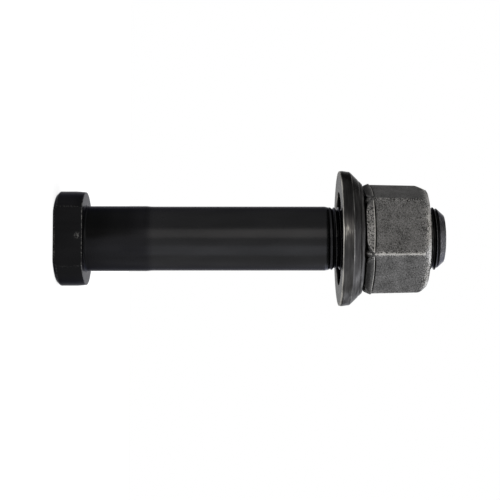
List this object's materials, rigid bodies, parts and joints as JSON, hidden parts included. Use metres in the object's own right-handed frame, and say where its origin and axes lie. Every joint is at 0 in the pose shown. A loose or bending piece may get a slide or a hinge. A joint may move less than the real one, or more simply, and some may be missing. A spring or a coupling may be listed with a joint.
{
  "type": "wheel stud",
  "caption": "Heavy wheel stud with a D-shaped head, long plain shank and fine thread, fitted with a flange nut that carries a captive thrust washer.",
  "frame": {"origin": "centre of the head's end face, on the stud's axis", "axes": "+Z along the stud's axis from the head to the threaded tip; -Y out of the flat side of the head"},
  "size_m": [0.0474, 0.0474, 0.135],
  "materials": {
    "black phosphated steel": "black manganese phosphate with a light oil film",
    "oiled forged steel": "dark oiled gunmetal, turned",
    "blasted steel": "bead-blasted and lightly phosphated, brighter on the edges"
  },
  "bodies": {
    "stud": {"stud": "black phosphated steel"},
    "washer": {"captive_washer": "oiled forged steel"},
    "nut": {"nut": "blasted steel"}
  },
  "joints": [
    {"name": "nut_travel", "type": "slide", "parent": "stud", "child": "washer", "axis": [0, 0, 1], "range_m": [-0.0031, 0.0331]},
    {"name": "nut_turn", "type": "hinge", "parent": "washer", "child": "nut", "pos_m": [0, 0, 0.1067], "axis": [0, 0, 1], "range_deg": [-720, 7920]}
  ],
  "couplings": [
    {"joint": "nut_travel", "follows": "nut_turn", "m_per_rad": 0.00023873}
  ]
}
